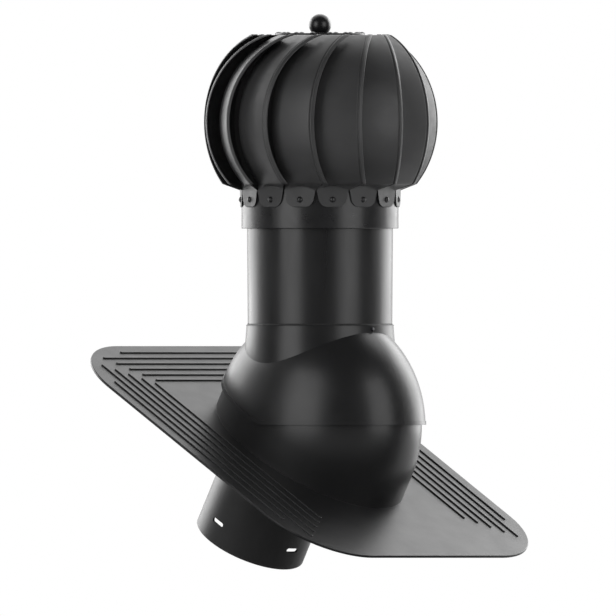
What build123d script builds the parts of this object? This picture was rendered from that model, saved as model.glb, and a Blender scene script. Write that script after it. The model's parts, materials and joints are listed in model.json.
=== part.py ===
from build123d import *
import os
from math import atan2, cos, degrees, hypot, radians, sin, sqrt, tan

os.makedirs("parts", exist_ok=True)

# Roof turbine ventilator, in millimetres and degrees. +Z is up, -Y points down the roof and X is
# the axis that the hood tilts about. The origin lies on the duct axis, on the underside of the
# flashing. Heights of the hood, the riser and the rotor are counted from the tilt centre.

# Flashing plate, which lies on the roof
roof_pitch = 30.0
flashing_width = 375.0
flashing_length = 462.0
flashing_corner_radius = 87.0
flashing_thickness = 2.8

# Weather ribs along the two sides and the upper edge of the flashing
rib_rows = 6
rib_width = 3.0
rib_height = 1.5
rib_edge_distance = 15.5
rib_spacing = 12.1
rib_outer_run_in = 79.0
rib_run_in = 42.0
rib_run_in_step = 10.0

# Dome, moulded in one with the flashing: an ellipsoid about the tilt axis on a straight skirt
dome_half_width = 95.0
dome_radius = 127.0
dome_wall = 2.5
dome_skirt_height = 31.7
dome_foot_fillet = 9.0
dome_opening_lean = 27.5
dome_opening_half_length = 95.0
dome_opening_half_width = 76.0

# Duct stub, which hangs through the floor of the dome
stub_radius = 62.5
stub_wall = 2.5
stub_length = 133.0
stub_shoulder = 0.8
stub_shoulder_length = 5.0
stub_offset = 30.8
stub_flange_width = 13.5
stub_flange_thickness = 2.5
stub_gasket_thickness = 1.0
stub_slot_count = 4
stub_slot_length = 17.0
stub_slot_width = 5.0
stub_slot_from_end = 24.5
stub_screw_count = 4
stub_screw_radius = 1.9
stub_screw_head_radius = 3.8
stub_screw_head_height = 2.2
stub_screw_tip = 2.0

# Hood, which tilts over the dome, with the collar that holds the riser
hood_gap = 1.5
hood_wall = 2.5
hood_lip_width = 4.5
hood_lip_height = 0.8
hood_rim_height = 1.0
hood_rim_rise = 27.0
hood_rim_blend = 60.0
glide_clearance = 0.3
glide_width = 3.0
glide_place = 62.0
glide_uphill_end = 55.0
collar_stand = 7.9
collar_draft = 4.5
collar_top_wall = 1.1
collar_wall = 2.5

# Riser pipe, slightly tapered, with a saddle-shaped lower end
riser_top_radius = 80.6
riser_wall = 2.5
riser_taper = 0.42
riser_exposed = 106.1
lock_screw_radius = 1.5
lock_screw_head_radius = 2.6
lock_screw_head_height = 1.6
lock_screw_drop = 4.9
lock_screw_reach = 1.5

# Three-armed bracket in the mouth of the riser
spider_arms = 3
spider_thickness = 3.0
spider_arm_width = 16.0
spider_hub_radius = 25.0
spider_web_fillet = 8.0
spider_foot_height = 16.0
spider_drop = 14.0
spider_rivet_radius = 2.0

# Axle and its fixings
axle_radius = 6.5
axle_journal_radius = 5.0
nut_across_flats = 16.0
nut_height = 5.0
washer_radius = 9.0
washer_thickness = 1.0
axle_tip = 2.0

# Ball bearings of the rotor
bearing_width = 8.0
bearing_ball_radius = 2.38
bearing_pitch_radius = 9.0
bearing_ball_count = 7
bearing_land = 1.45
bearing_outer_wall = 2.55
bearing_spread = 20.0
cage_thickness = 1.6
cage_width = 6.0

# Hub housing of the rotor
hub_wall = 3.5
hub_nut_room_radius = 11.0
hub_nut_room_height = 10.0
hub_flange_radius = 31.0
hub_flange_thickness = 3.0
hub_seat_depth = 7.0
hub_screw_count = 4
hub_screw_radius = 2.0
hub_screw_head_radius = 3.8
hub_screw_circle = 24.0
hub_screw_tip = 1.0
hub_step_fillet = 3.0
hub_lip = 1.0
retaining_ring_thickness = 1.2
retaining_ring_width = 2.6
retaining_ring_bite = 0.9
retaining_ring_split = 4.0
dust_seal_thickness = 3.0
dust_seal_clearance = 0.25

# Neck ring of the rotor, which turns around the mouth of the riser
neck_gap = 4.6
neck_sheet = 1.2
neck_height = 42.0
neck_overlap = 29.0
neck_hem = 6.0

# Vanes
vane_count = 15
vane_sheet = 0.8
vane_first_angle = 215.8
vane_inner_edge = 11.0
vane_outer_edge = 65.0
vane_belly = 113.5
vane_upper_radius = 102.4
vane_lower_radius = 102.4
vane_upper_height = 95.9
vane_lower_height = 68.1
vane_hem = 4.8
vane_hem_drop = 1.5
vane_foot_height = 7.0
vane_foot_turn = 18.4
vane_foot_width = 35.6
vane_foot_end_width = 27.0
vane_foot_corner = 9.0
vane_foot_drop = 18.6
vane_foot_rivet_drop = 10.2
vane_tab_width = 14.3
vane_tab_reach = 10.3
vane_tab_rivet = 4.6
vane_rivet_radius = 1.7

# Rivets, as shares of the shank
rivet_head_ratio = 2.0
rivet_tail_ratio = 1.6
rivet_head_rise = 0.8
neck_rivet_rise = 1.4

# Top disc and finial
disc_radius = 49.5
disc_thickness = 2.0
finial_radius = 12.2
finial_rise = 8.8
finial_stud_radius = 3.0
finial_stud_length = 7.0

# Clearances
fit_clearance = 0.15
hole_clearance = 0.1
bearing_fit = 0.02
sheet_gap = 0.05

# Small chamfers on turned and sheet edges
edge_break = 0.6

# Sizes that follow from the ones above
hood_inner_half_width = dome_half_width + hood_gap
hood_inner_radius = dome_radius + hood_gap
hood_half_width = hood_inner_half_width + hood_wall
hood_radius = hood_inner_radius + hood_wall
stub_flange_radius = stub_radius + stub_flange_width
stub_screw_circle = stub_radius + stub_flange_width / 2
stub_shoulder_radius = stub_radius + stub_shoulder
neck_radius = riser_top_radius + neck_gap + neck_sheet
riser_slope = tan(radians(riser_taper))
riser_foot_radius = riser_top_radius - riser_slope * (riser_exposed + neck_overlap)
collar_top_radius = riser_foot_radius + fit_clearance + collar_top_wall
collar_top = sqrt(hood_radius**2 - collar_top_radius**2) + collar_stand
neck_bottom = collar_top + riser_exposed
riser_top = neck_bottom + neck_overlap
neck_top = neck_bottom + neck_height
vane_bottom = neck_top + vane_foot_height
belly_height = vane_bottom + vane_lower_height
rotor_top = belly_height + vane_upper_height
disc_top = rotor_top + disc_thickness
vane_pitch = 360.0 / vane_count
vane_upper_centre = vane_belly - vane_upper_radius
vane_lower_centre = vane_belly - vane_lower_radius
vane_foot_face = neck_radius + sheet_gap
vane_crease = vane_outer_edge - vane_hem
hub_top = rotor_top
hub_shoulder = hub_top - hub_flange_thickness - hub_nut_room_height - hub_seat_depth
bearing_outer_radius = bearing_pitch_radius + bearing_land + bearing_outer_wall
upper_bearing_height = hub_shoulder - bearing_width / 2
lower_bearing_height = upper_bearing_height - bearing_width - bearing_spread
bearing_stack_bottom = lower_bearing_height - bearing_width / 2
ring_bottom = bearing_stack_bottom - retaining_ring_thickness
hub_bottom = ring_bottom - dust_seal_thickness - hub_lip
spider_top = riser_top - spider_drop
axle_top = hub_shoulder + washer_thickness + nut_height + axle_tip
axle_bottom = spider_top - spider_thickness - washer_thickness - nut_height - axle_tip

# The roof frame: X along the tilt axis, Y up the roof, Z off the roof
roof_plane = Plane(
    origin=(0, 0, 0),
    x_dir=(1, 0, 0),
    z_dir=(0, -sin(radians(roof_pitch)), cos(radians(roof_pitch))),
)
tilt_centre = roof_plane.from_local_coords(Vector(0, -stub_offset, flashing_thickness + dome_skirt_height))


def save(name, shape):
    """Write one node's solids."""
    solids = shape.solids()
    export_step(solids[0] if len(solids) == 1 else Compound(children=list(solids)), f"parts/{name}.step")


def on_roof(shape):
    """Place what is drawn in the roof frame."""
    return roof_plane.location * shape


def on_tilt_centre(shape):
    """Place what is drawn about the tilt centre."""
    return Pos(*tilt_centre) * shape


def cylinder_between(radius, low, high):
    return Pos(0, 0, low) * Cylinder(radius, high - low, align=(Align.CENTER, Align.CENTER, Align.MIN))


def ring_between(inner, outer, low, high):
    return cylinder_between(outer, low, high) - cylinder_between(inner, low - 1, high + 1)


def cone_between(low_radius, high_radius, low, high):
    cone = Cone(low_radius, high_radius, high - low, align=(Align.CENTER, Align.CENTER, Align.MIN))
    return Pos(0, 0, low) * cone


def ellipsoid(half_width, radius, turn=360):
    """Ellipsoid about the X axis. A half turn gives the half above the XY plane."""
    half = Ellipse(half_width, radius) & Pos(0, radius) * Rectangle(4 * half_width, 2 * radius)
    return revolve(half, Axis.X, turn)


def domed_head(radius, height):
    """Round rivet or screw head that stands on the XY plane."""
    ball = (radius**2 + height**2) / (2 * height)
    return Pos(0, 0, height - ball) * Sphere(ball) & cylinder_between(radius, 0, height)


def rivet(radius, grip, rise=rivet_head_rise):
    """Rivet along Z, its round head on the XY plane and its tail below the grip."""
    shank = cylinder_between(radius, -grip, 0)
    tail = cylinder_between(rivet_tail_ratio * radius, -grip - 0.6 * radius, -grip)
    return shank + domed_head(rivet_head_ratio * radius, rise * radius) + tail


def chord_depth(radius, half_width):
    """Distance from the axis to a flat that spans a bore of this radius."""
    return sqrt(radius**2 - half_width**2)


def hexagon_nut(low):
    nut = extrude(RegularPolygon(nut_across_flats / 2, 6, major_radius=False), nut_height)
    hole = cylinder_between(axle_journal_radius + hole_clearance, -1, nut_height + 1)
    return Pos(0, 0, low) * (nut - hole)


def riser_radius(height):
    """Outer radius of the riser at a height."""
    return riser_top_radius - riser_slope * (riser_top - height)


def flashing_ribs():
    """Straight ribs in rows, stepped back towards the corners of the flashing."""
    ribs = []
    for row in range(rib_rows):
        from_edge = rib_edge_distance + row * rib_spacing
        run_in = rib_outer_run_in if row == 0 else rib_run_in + (row - 1) * rib_run_in_step
        side_run = SlotOverall(flashing_length - 2 * run_in, rib_width)
        top_run = SlotOverall(flashing_width - 2 * run_in, rib_width)
        for side in (-1, 1):
            place = Pos(side * (flashing_width / 2 - from_edge), 0) * Rot(0, 0, 90)
            ribs.append(place * side_run)
        ribs.append(Pos(0, flashing_length / 2 - from_edge) * top_run)
    return [extrude(rib, rib_height) for rib in ribs]


def base_flashing():
    """Plate, ribs and hollow dome in one moulding."""
    plate_centre = Pos(0, -stub_offset)
    dome_level = flashing_thickness + dome_skirt_height
    plate = extrude(RectangleRounded(flashing_width, flashing_length, flashing_corner_radius), flashing_thickness)
    body = plate + extrude(Ellipse(dome_half_width, dome_radius), dome_level)
    on_plate = body.edges().filter_by_position(Axis.Z, flashing_thickness - 0.1, flashing_thickness + 0.1)
    body = fillet(on_plate.sort_by(SortBy.LENGTH)[-1], dome_foot_fillet)
    body += Pos(0, 0, dome_level) * ellipsoid(dome_half_width, dome_radius, 180)
    inner_half_width = dome_half_width - dome_wall
    inner_radius = dome_radius - dome_wall
    room = Pos(0, 0, flashing_thickness) * extrude(Ellipse(inner_half_width, inner_radius), dome_skirt_height)
    room += Pos(0, 0, dome_level) * ellipsoid(inner_half_width, inner_radius, 180)
    mouth = extrude(Ellipse(dome_opening_half_width, dome_opening_half_length), 1.5 * dome_radius)
    mouth = Pos(0, 0, dome_level) * Rot(-dome_opening_lean, 0, 0) * mouth
    body = body - room - mouth
    body += [Pos(0, 0, flashing_thickness) * rib for rib in flashing_ribs()]
    body = plate_centre * body
    body -= cylinder_between(stub_shoulder_radius + fit_clearance, -1, flashing_thickness + 1)
    hole = cylinder_between(stub_screw_radius + hole_clearance, -1, flashing_thickness + 1)
    body -= [place * hole for place in PolarLocations(stub_screw_circle, stub_screw_count, 45)]
    return on_roof(body)


def duct_stub():
    """Flanged pipe with four slots near its lower end."""
    seat = flashing_thickness + stub_gasket_thickness
    end = flashing_thickness - stub_length
    pipe = cylinder_between(stub_radius, end, seat + stub_flange_thickness)
    shoulder = cylinder_between(stub_shoulder_radius, -stub_shoulder_length, seat)
    shoulder += cone_between(
        stub_radius, stub_shoulder_radius, -stub_shoulder_length - stub_shoulder, -stub_shoulder_length
    )
    flange = cylinder_between(stub_flange_radius, seat, seat + stub_flange_thickness)
    stub = pipe + shoulder + flange
    stub = chamfer(stub.edges().group_by(Axis.Z)[0], edge_break)
    stub -= cylinder_between(stub_radius - stub_wall, end - 1, seat + stub_flange_thickness + 1)
    slot = extrude(Plane.YZ * SlotOverall(stub_slot_length, stub_slot_width), 2 * stub_radius)
    slot = Pos(0, 0, end + stub_slot_from_end) * slot
    stub -= [Rot(0, 0, turn * 360 / stub_slot_count) * slot for turn in range(stub_slot_count)]
    hole = cylinder_between(stub_screw_radius + hole_clearance, seat - 1, seat + stub_flange_thickness + 1)
    stub -= [place * hole for place in PolarLocations(stub_screw_circle, stub_screw_count, 45)]
    return on_roof(stub)


def stub_gasket():
    low = flashing_thickness
    inner = stub_shoulder_radius + fit_clearance
    gasket = ring_between(inner, stub_flange_radius, low, low + stub_gasket_thickness)
    hole = cylinder_between(stub_screw_radius + hole_clearance, low - 1, low + stub_gasket_thickness + 1)
    gasket -= [place * hole for place in PolarLocations(stub_screw_circle, stub_screw_count, 45)]
    return on_roof(gasket)


def stub_screws():
    head_seat = flashing_thickness + stub_gasket_thickness + stub_flange_thickness
    screw = Pos(0, 0, head_seat) * domed_head(stub_screw_head_radius, stub_screw_head_height)
    screw += cylinder_between(stub_screw_radius, -stub_screw_tip, head_seat)
    return on_roof(Part() + [place * screw for place in PolarLocations(stub_screw_circle, stub_screw_count, 45)])


def hood_side_view(lift):
    """Side view of the space above the rim, raised by lift: level downhill, rising uphill."""
    reach = 2 * hood_radius
    rise = tan(radians(hood_rim_rise))
    uphill_lift = lift / cos(radians(hood_rim_rise))
    bend = (lift - uphill_lift) / rise
    rim = Polyline(
        (-reach, hood_rim_height + lift),
        (bend, hood_rim_height + lift),
        (reach, hood_rim_height + uphill_lift + reach * rise),
    )
    rim = fillet(rim.vertices().sort_by(Axis.X)[1:2], hood_rim_blend - lift)
    border = Polyline(rim @ 1, (reach, 3 * reach), (-reach, 3 * reach), rim @ 0)
    return make_face(Curve() + [rim, border])


def above_rim(lift):
    """The space above the rim, as a block across the full width."""
    return extrude(Plane.YZ * hood_side_view(lift), 2 * hood_half_width, both=True)


def glide_ribs():
    """Narrow ribs inside the hood that slide on the dome."""
    skin = ellipsoid(hood_inner_half_width + hood_wall / 2, hood_inner_radius + hood_wall / 2)
    skin -= ellipsoid(dome_half_width + glide_clearance, dome_radius + glide_clearance)
    reach = 2 * hood_radius
    limit = Rot(glide_uphill_end, 0, 0) * Pos(0, -reach / 2, 0) * Box(reach, reach, 2 * reach)
    slabs = [Pos(side * glide_place, 0, 0) * Box(glide_width, 3 * reach, 3 * reach) for side in (-1, 1)]
    return (skin & limit) & (Part() + slabs)


def hood():
    """Tilting shell with its lip, collar and glide ribs."""
    bore_foot = hood_half_width / 2
    collar_foot_radius = collar_top_radius + (collar_top - bore_foot) * tan(radians(collar_draft))
    shell = ellipsoid(hood_half_width, hood_radius)
    shell += cone_between(collar_foot_radius, collar_top_radius, bore_foot, collar_top)
    shell -= ellipsoid(hood_inner_half_width, hood_inner_radius)
    shell &= above_rim(0)
    lip = ellipsoid(hood_half_width + hood_lip_height, hood_radius + hood_lip_height)
    lip -= ellipsoid(hood_inner_half_width + hood_wall / 2, hood_inner_radius + hood_wall / 2)
    lip = (lip & above_rim(0)) - above_rim(hood_lip_width)
    shell += lip
    shell += glide_ribs() & above_rim(0)
    bore_top_radius = riser_foot_radius + fit_clearance
    bore_foot_radius = collar_foot_radius - collar_wall
    slope = (bore_foot_radius - bore_top_radius) / (collar_top - bore_foot)
    shell -= cone_between(bore_foot_radius, bore_top_radius - slope, bore_foot, collar_top + 1)
    shell -= cylinder_between(bore_top_radius - slope, collar_top, hood_radius + 1)
    hole = extrude(Plane.XZ * Circle(lock_screw_radius + hole_clearance), 2 * neck_radius, both=True)
    shell -= Pos(0, 0, collar_top - lock_screw_drop) * hole
    return on_tilt_centre(shell)


def riser_pipe():
    """Tapered pipe whose lower end follows the inside of the hood."""
    foot = hood_half_width / 2
    pipe = cone_between(riser_radius(foot), riser_top_radius, foot, riser_top)
    pipe -= cone_between(riser_radius(foot - 1) - riser_wall, riser_top_radius - riser_wall, foot - 1, riser_top)
    pipe -= ellipsoid(hood_inner_half_width, hood_inner_radius)
    hole = extrude(Plane.XZ * Circle(lock_screw_radius + hole_clearance), 2 * neck_radius, both=True)
    pipe -= Pos(0, 0, collar_top - lock_screw_drop) * hole
    rivet_hole = extrude(Plane.YZ * Circle(spider_rivet_radius + hole_clearance), 2 * neck_radius)
    rivet_hole = Pos(0, 0, spider_top - spider_foot_height / 2) * rivet_hole
    pipe -= [Rot(0, 0, 90 + arm * 360 / spider_arms) * rivet_hole for arm in range(spider_arms)]
    return on_tilt_centre(pipe)


def riser_lock_screws():
    """Two screws through the collar and the riser, on the downhill and uphill sides."""
    level = collar_top - lock_screw_drop
    seat = collar_top_radius + (lock_screw_drop + lock_screw_head_radius) * tan(radians(collar_draft))
    tip = riser_foot_radius - riser_wall - lock_screw_reach
    screw = domed_head(lock_screw_head_radius, lock_screw_head_height)
    screw += cylinder_between(lock_screw_radius, tip - seat, 0)
    screw = Pos(0, 0, level) * Rot(0, 90, 0) * Pos(0, 0, seat) * screw
    return on_tilt_centre(Part() + [Rot(0, 0, turn) * screw for turn in (-90, 90)])


def spider_bracket():
    """Pressed bracket: a hub plate, three arms and a bent-down foot on each."""
    wall_radius = riser_radius(spider_top - spider_foot_height) - riser_wall - fit_clearance
    arm_length = wall_radius - spider_thickness / 2
    outline = Circle(spider_hub_radius)
    arm = Pos(arm_length / 2, 0) * Rectangle(arm_length, spider_arm_width)
    outline += [Rot(0, 0, 90 + turn * 360 / spider_arms) * arm for turn in range(spider_arms)]
    inner_corners = outline.vertices().filter_by(lambda vertex: hypot(vertex.X, vertex.Y) < spider_hub_radius + 1)
    outline = fillet(inner_corners, spider_web_fillet)
    bracket = Pos(0, 0, spider_top - spider_thickness) * extrude(outline, spider_thickness)
    foot = ring_between(
        wall_radius - spider_thickness, wall_radius, spider_top - spider_foot_height, spider_top
    )
    foot &= Pos(wall_radius, 0, spider_top) * Box(wall_radius, spider_arm_width, 4 * spider_foot_height)
    rivet_hole = extrude(Plane.YZ * Circle(spider_rivet_radius + hole_clearance), 2 * neck_radius)
    foot -= Pos(0, 0, spider_top - spider_foot_height / 2) * rivet_hole
    bracket += [Rot(0, 0, 90 + turn * 360 / spider_arms) * foot for turn in range(spider_arms)]
    bracket -= cylinder_between(axle_journal_radius + hole_clearance, 0, rotor_top)
    return on_tilt_centre(bracket)


def spider_rivets():
    level = spider_top - spider_foot_height / 2
    seat = riser_radius(level + rivet_head_ratio * spider_rivet_radius)
    foot_radius = riser_radius(spider_top - spider_foot_height) - riser_wall - fit_clearance - spider_thickness
    grip = seat - chord_depth(foot_radius, rivet_tail_ratio * spider_rivet_radius)
    one = Pos(0, 0, level) * Rot(0, 90, 0) * Pos(0, 0, seat) * rivet(spider_rivet_radius, grip)
    return on_tilt_centre(Part() + [Rot(0, 0, 90 + turn * 360 / spider_arms) * one for turn in range(spider_arms)])


def axle():
    """Shouldered axle that stands on the bracket and carries both bearings."""
    shaft = cylinder_between(axle_radius, spider_top, bearing_stack_bottom)
    shaft += cylinder_between(axle_journal_radius, axle_bottom, axle_top)
    shaft = chamfer(shaft.edges().group_by(Axis.Z)[0] + shaft.edges().group_by(Axis.Z)[-1], edge_break)
    return on_tilt_centre(shaft)


def axle_washer(low):
    return on_tilt_centre(ring_between(axle_journal_radius + hole_clearance, washer_radius, low, low + washer_thickness))


def axle_nut(low):
    return on_tilt_centre(hexagon_nut(low))


def ball_groove():
    """Torus that the balls run in."""
    return Torus(bearing_pitch_radius, bearing_ball_radius + bearing_fit)


def bearing_inner_ring(level):
    outer = bearing_pitch_radius - bearing_land
    ring = ring_between(axle_journal_radius + bearing_fit, outer, -bearing_width / 2, bearing_width / 2)
    return on_tilt_centre(Pos(0, 0, level) * (ring - ball_groove()))


def bearing_outer_ring(level):
    inner = bearing_pitch_radius + bearing_land
    ring = ring_between(inner, bearing_outer_radius, -bearing_width / 2, bearing_width / 2)
    return on_tilt_centre(Pos(0, 0, level) * (ring - ball_groove()))


def bearing_balls(level):
    ball = Sphere(bearing_ball_radius)
    balls = Part() + [place * ball for place in PolarLocations(bearing_pitch_radius, bearing_ball_count)]
    return on_tilt_centre(Pos(0, 0, level) * balls)


def bearing_cage(level):
    """Ring that keeps the balls apart, with a round pocket for each."""
    half = cage_thickness / 2
    cage = ring_between(bearing_pitch_radius - half, bearing_pitch_radius + half, -cage_width / 2, cage_width / 2)
    pocket = extrude(Plane.YZ * Circle(bearing_ball_radius + fit_clearance), 2 * bearing_pitch_radius)
    cage -= [Rot(0, 0, k * 360 / bearing_ball_count) * pocket for k in range(bearing_ball_count)]
    return on_tilt_centre(Pos(0, 0, level) * cage)


def inner_spacer():
    low = lower_bearing_height + bearing_width / 2
    outer = bearing_pitch_radius - bearing_land
    return on_tilt_centre(ring_between(axle_journal_radius + bearing_fit, outer, low, low + bearing_spread))


def outer_spacer():
    low = lower_bearing_height + bearing_width / 2
    inner = bearing_pitch_radius + bearing_land
    return on_tilt_centre(ring_between(inner, bearing_outer_radius, low, low + bearing_spread))


def hub_housing():
    """Turned housing: a bore for both bearings, room for the nut and a flange under the disc."""
    barrel_radius = bearing_outer_radius + hub_wall
    body = cylinder_between(barrel_radius, hub_bottom, hub_top)
    body += cylinder_between(hub_flange_radius, hub_top - hub_flange_thickness, hub_top)
    step = body.edges().filter_by(GeomType.CIRCLE).filter_by_position(
        Axis.Z, hub_top - hub_flange_thickness - 0.1, hub_top - hub_flange_thickness + 0.1
    )
    body = fillet(step.sort_by(SortBy.LENGTH)[0], hub_step_fillet)
    body -= cylinder_between(bearing_outer_radius + bearing_fit, hub_bottom - 1, hub_shoulder)
    body -= cylinder_between(hub_nut_room_radius, hub_shoulder - 1, hub_shoulder + hub_nut_room_height)
    groove_radius = bearing_outer_radius + retaining_ring_bite + hole_clearance
    body -= cylinder_between(groove_radius, ring_bottom - hole_clearance, bearing_stack_bottom)
    body -= cylinder_between(finial_stud_radius + hole_clearance, hub_shoulder, hub_top + 1)
    screw_hole = cylinder_between(hub_screw_radius + hole_clearance, hub_top - hub_flange_thickness - 1, hub_top + 1)
    body -= [place * screw_hole for place in PolarLocations(hub_screw_circle, hub_screw_count)]
    return on_tilt_centre(body)


def retaining_ring():
    """Split ring that sprang into the groove below the lower bearing."""
    outer = bearing_outer_radius + retaining_ring_bite
    outline = Circle(outer) - Circle(outer - retaining_ring_width)
    outline -= Pos(-outer, 0) * Rectangle(4 * retaining_ring_width, retaining_ring_split)
    return on_tilt_centre(Pos(0, 0, ring_bottom) * extrude(outline, retaining_ring_thickness))


def dust_seal():
    inner = axle_radius + dust_seal_clearance
    high = ring_bottom - hole_clearance
    return on_tilt_centre(ring_between(inner, bearing_outer_radius, high - dust_seal_thickness, high))


def countersunk_hole(radius, head_radius):
    """Hole through the disc whose cone opens at the XY plane."""
    depth = head_radius - radius
    return cone_between(radius, head_radius, -depth, 0) + cylinder_between(radius, -2 * disc_thickness, 0)


def disc_rivet_places():
    """Where the vane tabs are riveted under the disc."""
    tab_root = vane_upper_centre + sqrt(vane_upper_radius**2 - vane_upper_height**2)
    inward = tab_root - vane_tab_rivet
    along = vane_inner_edge + vane_tab_width / 2
    first = vane_first_angle + degrees(atan2(along, inward))
    return [Rot(0, 0, first + k * vane_pitch) * Pos(hypot(inward, along), 0, 0) for k in range(vane_count)]


def top_disc():
    disc = cylinder_between(disc_radius, rotor_top, disc_top)
    disc = fillet(disc.edges().group_by(Axis.Z)[-1], edge_break)
    disc -= cylinder_between(finial_stud_radius + hole_clearance, rotor_top - 1, disc_top + 1)
    screw_hole = countersunk_hole(hub_screw_radius + hole_clearance, hub_screw_head_radius + hole_clearance)
    disc -= [Pos(0, 0, disc_top) * place * screw_hole for place in PolarLocations(hub_screw_circle, hub_screw_count)]
    rivet_hole = cylinder_between(
        vane_rivet_radius + hole_clearance, rotor_top - disc_thickness, disc_top + disc_thickness
    )
    disc -= [place * rivet_hole for place in disc_rivet_places()]
    return on_tilt_centre(disc)


def top_rivets():
    one = Pos(0, 0, disc_top) * rivet(vane_rivet_radius, disc_thickness + vane_sheet)
    return on_tilt_centre(Part() + [place * one for place in disc_rivet_places()])


def hub_screws():
    """Countersunk screws, flush with the disc, that hold the hub housing."""
    depth = hub_screw_head_radius - hub_screw_radius
    length = disc_thickness + hub_flange_thickness + hub_screw_tip
    screw = cone_between(hub_screw_radius, hub_screw_head_radius, -depth, 0)
    screw += cylinder_between(hub_screw_radius, -length, -depth)
    places = PolarLocations(hub_screw_circle, hub_screw_count)
    return on_tilt_centre(Part() + [Pos(0, 0, disc_top) * place * screw for place in places])


def ball_finial():
    """Ball knob, cut flat where it sits on the disc, with its threaded stud."""
    ball = Pos(0, 0, disc_top + finial_rise) * Sphere(finial_radius)
    ball &= cylinder_between(2 * finial_radius, disc_top, disc_top + 3 * finial_radius)
    ball += cylinder_between(finial_stud_radius, disc_top - finial_stud_length, disc_top + 1)
    return on_tilt_centre(ball)


def neck_rivet_places():
    level = neck_top - vane_foot_rivet_drop
    first = vane_first_angle + vane_foot_turn
    return [Pos(0, 0, level) * Rot(0, 0, first + k * vane_pitch) for k in range(vane_count)]


def neck_ring():
    """Rolled ring with a hem at its lower edge."""
    ring = ring_between(neck_radius - neck_sheet, neck_radius, neck_bottom, neck_top)
    hem_radius = neck_radius - 2 * neck_sheet
    ring += ring_between(hem_radius, neck_radius - neck_sheet / 2, neck_bottom, neck_bottom + neck_hem)
    ring = chamfer(ring.edges().group_by(Axis.Z)[0], edge_break)
    hole = extrude(Plane.YZ * Circle(vane_rivet_radius + hole_clearance), 2 * neck_radius)
    ring -= [place * hole for place in neck_rivet_places()]
    return on_tilt_centre(ring)


def neck_rivets():
    head_seat = vane_foot_face + vane_sheet
    grip = head_seat - chord_depth(neck_radius - neck_sheet, rivet_tail_ratio * vane_rivet_radius)
    one = Rot(0, 90, 0) * Pos(0, 0, head_seat) * rivet(vane_rivet_radius, grip, neck_rivet_rise)
    return on_tilt_centre(Part() + [place * one for place in neck_rivet_places()])


def vane_section(depth_out, depth_in, place):
    """Upright section through the sheet, between two depths below the outer face."""
    upper_out = vane_upper_radius - depth_out
    upper_in = vane_upper_radius - depth_in
    lower_out = vane_lower_radius - depth_out
    lower_in = vane_lower_radius - depth_in
    outline = [
        arc_to_belly(vane_upper_centre, upper_out, upper_edge_line(upper_out)),
        arc_to_belly(vane_lower_centre, lower_out, lower_edge_line(lower_out)),
        Line(lower_edge_line(lower_out), lower_edge_line(lower_in)),
        arc_to_belly(vane_lower_centre, lower_in, lower_edge_line(lower_in)),
        arc_to_belly(vane_upper_centre, upper_in, upper_edge_line(upper_in)),
        Line(upper_edge_line(upper_in), upper_edge_line(upper_out)),
    ]
    return Pos(0, place, 0) * (Plane.XZ * make_face(Curve() + outline))


def upper_edge_line(radius):
    """Point of an upper arc at the height of the vane's top."""
    return (vane_upper_centre + sqrt(radius**2 - vane_upper_height**2), rotor_top)


def lower_edge_line(radius):
    """Point of a lower arc at the height where the foot begins."""
    return (vane_lower_centre + sqrt(radius**2 - vane_lower_height**2), vane_bottom)


def arc_to_belly(centre, radius, end):
    """Arc about a point at belly height, from the belly to an end point."""
    half_angle = degrees(atan2(end[1] - belly_height, end[0] - centre)) / 2
    middle = (
        centre + radius * cos(radians(half_angle)),
        belly_height + radius * sin(radians(half_angle)),
    )
    return ThreePointArc((centre + radius, belly_height), middle, end)


def vane_foot():
    """Twisted web from the vane to its flat foot on the neck ring, with the rivet hole."""
    turned = Rot(0, 0, vane_foot_turn)
    outer = lower_edge_line(vane_lower_radius)[0]
    inner = lower_edge_line(vane_lower_radius - vane_sheet)[0]
    middle = (vane_inner_edge + vane_crease) / 2
    top_section = Rectangle(outer - inner, vane_crease - vane_inner_edge)
    top_section = Pos((outer + inner) / 2, middle, vane_bottom) * top_section
    foot_section = Pos(vane_foot_face + vane_sheet / 2, 0, neck_top) * Rectangle(vane_sheet, vane_foot_width)
    web = loft([turned * foot_section, top_section], ruled=True)
    half = vane_foot_width / 2
    end_half = vane_foot_end_width / 2
    flat = Polyline(
        (-half, neck_top),
        (half, neck_top),
        (end_half, neck_top - vane_foot_drop),
        (-end_half, neck_top - vane_foot_drop),
        close=True,
    )
    flat = make_face(flat)
    flat = fillet(flat.vertices().group_by(Axis.Y)[0], vane_foot_corner)
    flat -= Pos(0, neck_top - vane_foot_rivet_drop) * Circle(vane_rivet_radius + hole_clearance)
    foot = Pos(vane_foot_face, 0, 0) * extrude(Plane.YZ * flat, vane_sheet)
    return web + turned * foot


def vane_tab():
    """Flat tab that goes inwards under the disc, with its rivet hole."""
    root = upper_edge_line(vane_upper_radius)[0]
    along = vane_inner_edge + vane_tab_width / 2
    tab = Box(vane_tab_reach, vane_tab_width, vane_sheet)
    tab = Pos(root - vane_tab_reach / 2, along, rotor_top - vane_sheet / 2) * tab
    hole = cylinder_between(vane_rivet_radius + hole_clearance, rotor_top - 2 * vane_sheet, disc_top)
    return tab - Pos(root - vane_tab_rivet, along, 0) * hole


def vane():
    """Curved stave whose outer edge is folded double and bent inwards, drawn facing +X."""
    width = vane_crease - vane_inner_edge
    stave = extrude(vane_section(0, vane_sheet, vane_crease), width, dir=(0, -1, 0))
    hem_root = vane_section(0, 2 * vane_sheet, vane_crease)
    hem_tip = vane_section(vane_hem_drop, vane_hem_drop + 2 * vane_sheet, vane_outer_edge)
    hem = loft([hem_root, hem_tip], ruled=True)
    return stave + hem + vane_tab() + vane_foot()


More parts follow.
